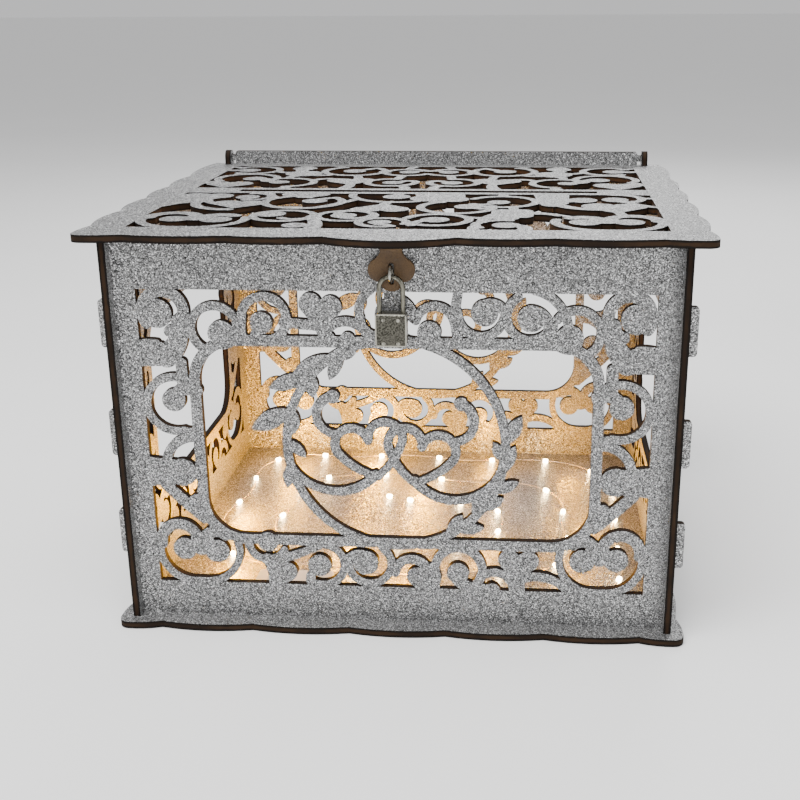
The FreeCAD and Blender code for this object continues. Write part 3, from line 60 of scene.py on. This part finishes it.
forward = Vector((math.sin(YAW) * math.cos(PITCH), math.cos(YAW) * math.cos(PITCH), -math.sin(PITCH)))
level = Vector((math.cos(YAW), -math.sin(YAW), 0.0))
upright = level.cross(forward)
right = level * math.cos(ROLL) + upright * math.sin(ROLL)
up = upright * math.cos(ROLL) - level * math.sin(ROLL)
lens = bpy.data.cameras.new("studio_camera")
lens.lens = LENS
lens.sensor_width = SENSOR
lens.shift_x = SHIFT_X
lens.clip_start = CLIP_START
camera = bpy.data.objects.new("studio_camera", lens)
bpy.context.scene.collection.objects.link(camera)
turn = Matrix((right, up, -forward)).transposed().to_4x4()
camera.matrix_world = Matrix.Translation(EYE) @ turn
bpy.context.scene.camera = camera


# ---- shader writing ------------------------------------------------------------------------------
class Amount:
    """A socket that varies over a surface; arithmetic on it adds Math nodes to its finish."""

    def __init__(self, finish, socket):
        self.finish = finish
        self.socket = socket

    def maths(self, operation, *terms):
        return self.finish.node("Math", {"operation": operation}, dict(enumerate(terms)))

    def __add__(self, other):
        return self.maths("ADD", self, other)

    def __sub__(self, other):
        return self.maths("SUBTRACT", self, other)

    def __rsub__(self, other):
        return self.maths("SUBTRACT", other, self)

    def __mul__(self, other):
        return self.maths("MULTIPLY", self, other)

    def __truediv__(self, other):
        return self.maths("DIVIDE", self, other)

    def __gt__(self, other):
        return self.maths("GREATER_THAN", self, other)

    def __abs__(self):
        return self.maths("ABSOLUTE", self)

    __radd__ = __add__
    __rmul__ = __mul__


class Finish:
    """One material and the nodes that make it."""

    def __init__(self, name, **fixed):
        self.material = bpy.data.materials.new(name)
        self.material.use_nodes = True
        self.tree = self.material.node_tree
        self.shader = self.tree.nodes["Principled BSDF"]
        for socket, value in fixed.items():
            self.shader.inputs[socket.replace("_", " ")].default_value = value
        self.place = self.node("TexCoord", {}, {}, "Object")

    def node(self, kind, settings, inputs, out=0):
        """Makes a shader node, sets and feeds it, and returns one of its outputs."""
        made = self.tree.nodes.new("ShaderNode" + kind)
        for key, value in settings.items():
            if key == "stops":
                self.stops(made.color_ramp, value)
            else:
                setattr(made, key, value)
        for key, value in inputs.items():
            self.feed(made.inputs[key], value)
        return Amount(self, made.outputs[out])

    def stops(self, ramp, stops):
        while len(ramp.elements) < len(stops):
            ramp.elements.new(0.5)
        for element, (position, colour) in zip(ramp.elements, stops):
            element.position = position
            element.color = (*colour, 1.0)

    def feed(self, socket, value):
        if isinstance(value, Amount):
            self.tree.links.new(value.socket, socket)
        else:
            socket.default_value = value

    def set(self, **varying):
        for socket, value in varying.items():
            self.feed(self.shader.inputs[socket.replace("_", " ")], value)
        return self

    def noise(self, scale, detail=4.0, roughness=0.55, place=None):
        return self.node("TexNoise", {}, {"Vector": place or self.place, "Scale": scale,
                                          "Detail": detail, "Roughness": roughness})

    def cells(self, scale, out="Color", feature="F1"):
        return self.node("TexVoronoi", {"feature": feature}, {"Vector": self.place, "Scale": scale}, out)

    def ramp(self, value, *stops):
        return self.node("ValToRGB", {"stops": stops}, {"Fac": value})

    def ease(self, value, low, high, to_low=0.0, to_high=1.0):
        """Runs smoothly from to_low to to_high while the value runs from low to high."""
        return self.node("MapRange", {"interpolation_type": "SMOOTHSTEP"},
                         {0: value, 1: low, 2: high, 3: to_low, 4: to_high})

    def mix(self, share, first, second, blend="MIX"):
        return self.node("Mix", {"data_type": "RGBA", "blend_type": blend, "clamp_factor": True},
                         {0: share, 6: rgba(first), 7: rgba(second)}, 2)

    def vector(self, operation, first, second):
        return self.node("VectorMath", {"operation": operation}, {0: first, 1: second})

    def scaled(self, vector, size):
        return self.node("VectorMath", {"operation": "SCALE"}, {0: vector, "Scale": size})

    def axis(self, vector, name):
        return self.node("SeparateXYZ", {}, {0: vector}, name)

    def stretched(self, x, y, z):
        """The place in the piece, scaled along each axis."""
        return self.vector("MULTIPLY", self.place, (x, y, z))

    def bump(self, height, strength, distance):
        return self.node("Bump", {}, {"Strength": strength, "Distance": distance, "Height": height})


def rgba(colour):
    return colour if isinstance(colour, Amount) else (*colour, 1.0)


def wear(finish, node_names):
    """Puts the finish on every named CAD node."""
    for name in node_names:
        piece = nodes[name]
        piece.data.materials.clear()
        piece.data.materials.append(finish.material)


# ---- the glitter film on burnt board -------------------------------------------------------------
BOARD = 4.0 * MM
FLAKE = 1 / 0.00046         # flakes per metre
FLAKE_TILT = 0.62
# painted glints: each flake gets a tone from near black to white, standing in for how it catches the
# light
FLAKE_GLINT_TONES = (
    (0.0, (0.030, 0.030, 0.030)),
    (0.25, (0.112, 0.111, 0.110)),
    (0.6, (0.245, 0.244, 0.243)),
    (0.85, (0.46, 0.46, 0.46)),
    (1.0, (1.0, 1.0, 1.0)),
)
FILM_DRIFT = (0.55, 0.56, 0.58)
FILM_DRIFT_MOST = 0.12
FILM_DULL, FILM_BRIGHT = 0.50, 0.28     # roughness of the dullest and of the brightest flakes
FILM_METAL = 0.7
BOARD_SPECULAR = 0.12
FACE_NORMAL = 0.7           # a normal with more than this along the board's axis lies on a face
BURNT = (0.003, 0.002, 0.0015)
CHAR = (0.006, 0.004, 0.003)
CORE = (0.030, 0.016, 0.008)
CORE_RAGGED = 0.9           # how far the streaks push the border of the paler core
EDGE_ROUGH, EDGE_ROUGH_SPREAD = 0.66, 0.2


def glitter_film(f):
    """Colour, roughness and normal of the flakes; the colour is painted light, from dull flakes to the
    few painted bright as glints that catch the light.
    """
    flake = f.cells(FLAKE)
    shade = f.axis(flake, "X")
    drift = f.noise(scale=14.0, detail=3.0)
    drift_share = f.ease(drift, 0.35, 0.7, 0.0, FILM_DRIFT_MOST)
    # the flake tones paint the glints into the film's colour
    colour = f.mix(drift_share, f.ramp(shade, *FLAKE_GLINT_TONES), FILM_DRIFT, "MULTIPLY")
    facing = f.node("NewGeometry", {}, {}, "Normal")
    tilt = f.scaled(f.vector("SUBTRACT", flake, (0.5, 0.5, 0.5)), FLAKE_TILT)
    normal = f.node("VectorMath", {"operation": "NORMALIZE"}, {0: f.vector("ADD", facing, tilt)})
    return colour, f.ease(shade, 0.0, 1.0, FILM_DULL, FILM_BRIGHT), normal


def burnt_edge(f, across):
    """Laser-cut edge; across runs from 0 to 1 through the board."""
    streak = f.noise(scale=160.0, detail=5.0, roughness=0.65)
    soot = f.noise(scale=38.0, detail=3.0)
    ply = 1.0 - abs(across - 0.5) * 2.0
    core = f.ease(ply + (streak - 0.5) * CORE_RAGGED, 0.34, 0.72)
    colour = f.mix(core * f.ease(soot, 0.36, 0.62, 0.35, 1.0), CHAR, CORE)
    return f.mix(f.ease(ply, 0.02, 0.22, 0.9, 0.0), colour, BURNT), streak


def board_finish(name, axis, low):
    """Film on both faces across the axis, and burnt edges between them.

    low is where the board's lower face lies on that axis, in metres. The side comes from the
    board's own normal, so that the film stays on its faces when the lid turns."""
    f = Finish(name, Specular_IOR_Level=BOARD_SPECULAR, IOR=1.5)
    side = f.node("TexCoord", {}, {}, "Normal")
    film_share = abs(f.axis(side, axis)) > FACE_NORMAL
    across = (f.axis(f.place, axis) - low) / BOARD
    film, film_rough, film_normal = glitter_film(f)
    edge, streak = burnt_edge(f, across)
    edge_rough = EDGE_ROUGH + EDGE_ROUGH_SPREAD * streak
    relief = f.bump(streak, strength=0.35, distance=0.0004)
    rough = film_rough * film_share + (1.0 - film_share) * edge_rough
    normal = f.node("Mix", {"data_type": "VECTOR"}, {0: film_share, 4: relief, 5: film_normal}, 1)
    return f.set(Base_Color=f.mix(film_share, edge, film), Roughness=rough,
                 Metallic=film_share * FILM_METAL, Normal=normal)


def lowest(node, axis):
    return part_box(node)[0]["XYZ".index(axis)]


BOARDS = (
    ("base_plate", "Z"), ("front_panel", "Y"), ("rear_panel", "Y"), ("left_panel", "X"),
    ("right_panel", "X"), ("lid_panel", "Z"), ("hinge_strip", "Y"),
)
for node, axis in BOARDS:
    wear(board_finish("glitter_" + node, axis, lowest(node, axis)), [node])


# ---- small metals and plastics -------------------------------------------------------------------
METAL_SPREAD = 0.18         # how much duller the dullest spots are
HAMMERED_SPREAD = 0.25
PLASTIC_SPREAD = 0.14
GRAIN_STRETCH = 0.12
DENT_DEPTH, PIT_DEPTH = 0.8, 0.35
PIT = (0.09, 0.085, 0.075)
PATINA = (0.15, 0.14, 0.12)
RIM_W = 0.9 * MM            # smooth border of the padlock's plates
# painted highlight: the plates' smooth border is coloured far lighter than the plate, for the bright
# line the light draws along its bevel
RIM_HIGHLIGHT = (0.36, 0.345, 0.295)
RIM_ROUGH = 0.24


def drawn_metal(name, dark, light, grain, rough):
    """Metal with a fine grain along Z and dull spots."""
    f = Finish(name, Metallic=1.0)
    line = f.noise(grain, 5.0, 0.6, f.stretched(1.0, 1.0, GRAIN_STRETCH))
    spot = f.noise(scale=260.0, detail=3.0)
    colour = f.mix(f.ease(line, 0.3, 0.7), dark, light)
    colour = f.mix(f.ease(spot, 0.58, 0.74, 0.0, 0.5), colour, dark, "MULTIPLY")
    return f.set(Base_Color=colour, Roughness=f.ease(spot, 0.3, 0.7, rough, rough + METAL_SPREAD),
                 Normal=f.bump(line, strength=0.12, distance=0.00008))


def hammered(name, dark, light, dent, rough, rim_of=None):
    """Antique plate: small dents, bright on their rims and dark in the hollows."""
    f = Finish(name, Metallic=0.92)
    hollow = f.cells(dent, "Distance", feature="SMOOTH_F1")
    pit = f.noise(scale=1500.0, detail=3.0, roughness=0.7)
    patina = f.noise(scale=320.0, detail=4.0)
    colour = f.mix(f.ease(hollow, 0.18, 0.62), dark, light)
    colour = f.mix(f.ease(pit, 0.52, 0.72, 0.0, 0.75), colour, PIT)
    colour = f.mix(f.ease(patina, 0.45, 0.75, 0.0, 0.5), colour, PATINA)
    height = hollow * DENT_DEPTH + pit * PIT_DEPTH
    dull = f.ease(patina, 0.3, 0.75, rough, rough + HAMMERED_SPREAD)
    if rim_of:
        rim = plain_rim(f, rim_of)
        # the smooth border takes the painted highlight colour, and stays unhammered and smoother
        colour = f.mix(rim, colour, RIM_HIGHLIGHT)
        height = height * (1.0 - rim)
        dull = dull * (1.0 - rim) + rim * RIM_ROUGH
    return f.set(Base_Color=colour, Roughness=dull,
                 Normal=f.bump(height, strength=0.75, distance=0.0005))


def plain_rim(f, node):
    """1 in a smooth border round a plate that stands in X and Z, and 0 inside it."""
    low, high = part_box(node)
    x = f.axis(f.place, "X")
    z = f.axis(f.place, "Z")
    half_x = (high[0] - low[0]) / 2.0
    half_z = (high[2] - low[2]) / 2.0
    beside = f.ease(abs(x - (low[0] + high[0]) / 2.0), half_x - RIM_W, half_x - RIM_W / 2.0)
    above = f.ease(abs(z - (low[2] + high[2]) / 2.0), half_z - RIM_W, half_z - RIM_W / 2.0)
    return 1.0 - (1.0 - beside) * (1.0 - above)


def moulded(name, colour, shade, rough):
    """Moulded plastic with a faint skin."""
    f = Finish(name, Specular_IOR_Level=0.5)
    skin = f.noise(scale=900.0, detail=3.0)
    cloud = f.noise(scale=60.0, detail=2.0)
    return f.set(Base_Color=f.mix(f.ease(cloud, 0.3, 0.7), colour, shade),
                 Roughness=f.ease(skin, 0.3, 0.7, rough, rough + PLASTIC_SPREAD),
                 Normal=f.bump(skin, strength=0.14, distance=0.0001))


METALS = (
    ("nickel_wire", (0.22, 0.21, 0.18), (0.56, 0.54, 0.48), 700.0, 0.24,
     ("hasp_staple", "screw_eye", "padlock_latch", "cell_contact_minus", "cell_contact_plus")),
    ("shackle_pewter", (0.07, 0.066, 0.052), (0.27, 0.258, 0.21), 900.0, 0.22, ("padlock_shackle",)),
    ("rivet_nickel", (0.12, 0.115, 0.095), (0.40, 0.385, 0.33), 1200.0, 0.24, ("padlock_rivets",)),
    ("turned_brass", (0.42, 0.30, 0.12), (0.78, 0.60, 0.30), 1600.0, 0.28, ("padlock_plug",)),
    ("spring_steel", (0.36, 0.36, 0.37), (0.66, 0.66, 0.68), 2000.0, 0.24, ("padlock_latch_spring",)),
    ("cell_steel", (0.52, 0.52, 0.52), (0.82, 0.82, 0.82), 500.0, 0.26, ("coin_cells",)),
)
for name, dark, light, grain, rough, pieces in METALS:
    wear(drawn_metal(name, dark, light, grain, rough), pieces)

antique = hammered("antique_case", (0.08, 0.076, 0.062), (0.25, 0.24, 0.20), 1500.0, 0.30)
wear(antique, ["padlock_case"])
plate = hammered("hammered_plate", (0.022, 0.021, 0.016), (0.125, 0.120, 0.098), 1300.0, 0.32,
                 rim_of="padlock_front_plate")
wear(plate, ["padlock_front_plate", "padlock_back_plate"])
white = moulded("white_plastic", (0.80, 0.80, 0.77), (0.70, 0.70, 0.67), 0.34)
wear(white, ["battery_case", "battery_cover"])
black = moulded("black_plastic", (0.030, 0.030, 0.032), (0.055, 0.055, 0.058), 0.42)
wear(black, ["light_switch"])

# ---- resin drops ---------------------------------------------------------------------------------
DROP_STRENGTH = 60.0


def glowing_drop():
    """Clear resin over a warm diode, brightest at the diode."""
    f = Finish("led_resin", Roughness=0.12, Emission_Strength=DROP_STRENGTH, IOR=1.48)
    heart = f.noise(scale=700.0, detail=2.0)
    return f.set(Base_Color=f.mix(heart, (1.0, 0.72, 0.34), (1.0, 0.86, 0.58)),
                 Emission_Color=f.mix(f.ease(heart, 0.3, 0.7), (1.0, 0.60, 0.20), (1.0, 0.80, 0.46)))


wear(glowing_drop(), ["fairy_light_beads"])


# ---- leather hasp --------------------------------------------------------------------------------
LEATHER_DARK = (0.085, 0.046, 0.017)
LEATHER_LIGHT = (0.135, 0.076, 0.029)
# painted shade: the colour laid into the creases of the grain
CREASE_SHADE = (0.025, 0.012, 0.007)
FINE_GRAIN = 0.3            # height of the fine grain beside the pebbles
WELD = 1e-5
FLAT_ANGLE = math.radians(2)
LEATHER_ROUND = 0.5 * MM
ROUND_STEPS = 3
ROUND_ANGLE = math.radians(50)


def brown_leather():
    """Smooth leather with a fine pebble grain, and painted shade darkening its creases."""
    f = Finish("brown_leather", Specular_IOR_Level=0.42)
    grain = f.cells(1500.0, "Distance", feature="DISTANCE_TO_EDGE")
    cloud = f.noise(scale=120.0, detail=4.0)
    fine = f.noise(scale=2400.0, detail=3.0)
    colour = f.mix(f.ease(cloud, 0.3, 0.7), LEATHER_DARK, LEATHER_LIGHT)
    # painted shade along the grain's creases
    colour = f.mix(f.ease(grain, 0.0, 0.09, 0.6, 0.0), colour, CREASE_SHADE)
    height = f.ease(grain, 0.0, 0.12) + fine * FINE_GRAIN
    return f.set(Base_Color=colour, Roughness=f.ease(cloud, 0.3, 0.7, 0.42, 0.60),
                 Normal=f.bump(height, strength=0.5, distance=0.00018))


def hasp_flap():
    """The tab with softly rounded leather edges."""
    mesh = nodes["hasp_tab"].data.copy()
    mesh.name = "hasp_flap"
    work = bmesh.new()
    work.from_mesh(mesh)
    bmesh.ops.remove_doubles(work, verts=work.verts, dist=WELD)
    bmesh.ops.dissolve_limit(work, angle_limit=FLAT_ANGLE, verts=work.verts, edges=work.edges)
    work.to_mesh(mesh)
    work.free()
    mesh.materials.clear()
    mesh.materials.append(brown_leather().material)
    flap = bpy.data.objects.new("hasp_flap", mesh)
    bpy.context.scene.collection.objects.link(flap)
    for polygon in mesh.polygons:
        polygon.use_smooth = True
    soften = flap.modifiers.new("soften", "BEVEL")
    soften.width = LEATHER_ROUND
    soften.segments = ROUND_STEPS
    soften.limit_method = "ANGLE"
    soften.angle_limit = ROUND_ANGLE
    soften.harden_normals = True
    return flap


flap = hasp_flap()
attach(flap, "lid")
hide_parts("hasp_tab")


def latch_coil():
    """The coil behind the padlock's latch, as its own piece."""
    mesh = nodes["padlock_latch_spring"].data.copy()
    mesh.name = "latch_coil"
    coil = bpy.data.objects.new("latch_coil", mesh)
    bpy.context.scene.collection.objects.link(coil)
    return coil


coil = latch_coil()
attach(coil, "lock")
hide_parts("padlock_latch_spring")
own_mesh(coil)

# ---- fairy light wire ----------------------------------------------------------------------------
# The radius, the height and the route are in millimetres.
WIRE_R = 0.4
WIRE_Z = 5.65
WIRE_ROUND_STEPS = 2
WIRE_LENGTH_STEPS = 10
ROUTE = (
    (-43.6, -110.0), (-22.0, -110.0), (4.0, -113.0), (44.0, -106.0), (86.0, -113.0), (120.0, -98.0),
    (132.0, -60.0), (124.0, -16.0), (134.0, 28.0), (128.0, 74.0), (106.0, 106.0), (62.0, 112.0),
    (26.0, 104.0), (-18.0, 117.0), (-62.0, 106.0), (-104.0, 114.0), (-130.0, 84.0), (-121.0, 40.0),
    (-134.0, -2.0), (-126.0, -46.0), (-98.0, -74.0), (-54.0, -70.0), (-12.0, -84.0), (34.0, -74.0),
    (76.0, -78.0), (102.0, -46.0), (92.0, -4.0), (98.0, 38.0), (70.0, 68.0), (28.0, 62.0),
    (-10.0, 76.0), (-54.0, 74.0), (-92.0, 60.0), (-86.0, 20.0), (-100.0, -22.0), (-68.0, -44.0),
    (-30.0, -30.0), (8.0, -42.0), (46.0, -34.0), (58.0, 0.0), (44.0, 30.0), (6.0, 24.0), (-26.0, 36.0),
)


def light_wire():
    """The wire as one round curve along the route."""
    curve = bpy.data.curves.new("light_wire", "CURVE")
    curve.dimensions = "3D"
    curve.bevel_depth = WIRE_R * MM
    curve.bevel_resolution = WIRE_ROUND_STEPS
    curve.resolution_u = WIRE_LENGTH_STEPS
    spline = curve.splines.new("NURBS")
    spline.points.add(len(ROUTE) - 1)
    for point, (x, y) in zip(spline.points, ROUTE):
        point.co = (x * MM, y * MM, WIRE_Z * MM, 1.0)
    spline.order_u = 3
    spline.use_endpoint_u = True
    f = drawn_metal("silver_wire", (0.45, 0.38, 0.28), (0.85, 0.78, 0.66), 1800.0, 0.22)
    curve.materials.append(f.material)
    wire = bpy.data.objects.new("light_wire", curve)
    bpy.context.scene.collection.objects.link(wire)
    return wire


wire = light_wire()
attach(wire, "root")
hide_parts("fairy_light_wire")


# ---- floor and light -----------------------------------------------------------------------------
FLOOR_HALF = 40.0
FLOOR_DROP = 0.0004         # keeps the floor just below the base board
FLOOR_DARK = (0.86, 0.86, 0.855)
FLOOR_LIGHT = (0.90, 0.90, 0.895)
WHITE = (1.0, 1.0, 1.0)
COOL_WHITE = (0.98, 0.99, 1.0)
GLOW_COLOUR = (1.0, 0.42, 0.012)
GLOW_SIZE = 0.006
GLOW_HEIGHT = 0.022
GLOW_STRONG, GLOW_WEAK = 0.36, 0.12
WEAK_FROM_X = 40            # millimetres; the lights to the right of this are the weak ones
GLOW_PLACES = (
    (-100, 95), (-40, 110), (45, 108), (105, 90), (115, 10), (-118, 10),
    (-105, -70), (0, 60), (50, -20), (-40, -30), (100, -75), (0, -85),
)
SKY = (0.99, 0.99, 1.0, 1.0)
SKY_STRENGTH = 0.68


def studio_floor():
    """The pale floor under the box; it is part of the studio."""
    mesh = bpy.data.meshes.new("studio_floor")
    far = FLOOR_HALF
    corners = [(-far, -far, 0), (far, -far, 0), (far, far, 0), (-far, far, 0)]
    mesh.from_pydata(corners, [], [(0, 1, 2, 3)])
    f = Finish("pale_floor", Specular_IOR_Level=0.3)
    cloud = f.noise(scale=3.0, detail=3.0)
    f.set(Base_Color=f.mix(cloud, FLOOR_DARK, FLOOR_LIGHT),
          Roughness=f.ease(cloud, 0.3, 0.7, 0.5, 0.6))
    mesh.materials.append(f.material)
    floor = bpy.data.objects.new("studio_floor", mesh)
    floor.location.z = -FLOOR_DROP
    bpy.context.scene.collection.objects.link(floor)


def soft_box(name, place, aim, size, watts, colour=WHITE):
    """A square area light that looks at the aim."""
    light = bpy.data.lights.new(name, "AREA")
    light.shape = "SQUARE"
    light.size = size
    light.energy = watts
    light.color = colour
    lamp = bpy.data.objects.new(name, light)
    lamp.location = place
    lamp.rotation_euler = (Vector(aim) - Vector(place)).to_track_quat("-Z", "Y").to_euler()
    bpy.context.scene.collection.objects.link(lamp)


def diode_glow(x, y, watts):
    """The warm light that one drop throws on the boards round it."""
    light = bpy.data.lights.new("diode_glow", "POINT")
    light.energy = watts
    light.color = GLOW_COLOUR
    light.shadow_soft_size = GLOW_SIZE
    lamp = bpy.data.objects.new("diode_glow", light)
    lamp.location = (x * MM, y * MM, GLOW_HEIGHT)
    bpy.context.scene.collection.objects.link(lamp)


studio_floor()
soft_box("key", place=(-0.35, -0.75, 1.75), aim=(0, -0.25, 0.0), size=1.3, watts=56.0)
soft_box("fill", place=(1.2, -0.8, 0.8), aim=(0, 0, 0.1), size=1.2, watts=5.0, colour=COOL_WHITE)
soft_box("back", place=(0.2, 1.3, 1.2), aim=(0, 0, 0.1), size=1.0, watts=14.0)
for x, y in GLOW_PLACES:
    diode_glow(x, y, GLOW_WEAK if x > WEAK_FROM_X else GLOW_STRONG)

world = bpy.data.worlds.new("studio")
world.use_nodes = True
sky = world.node_tree.nodes["Background"]
sky.inputs["Color"].default_value = SKY
sky.inputs["Strength"].default_value = SKY_STRENGTH
bpy.context.scene.world = world
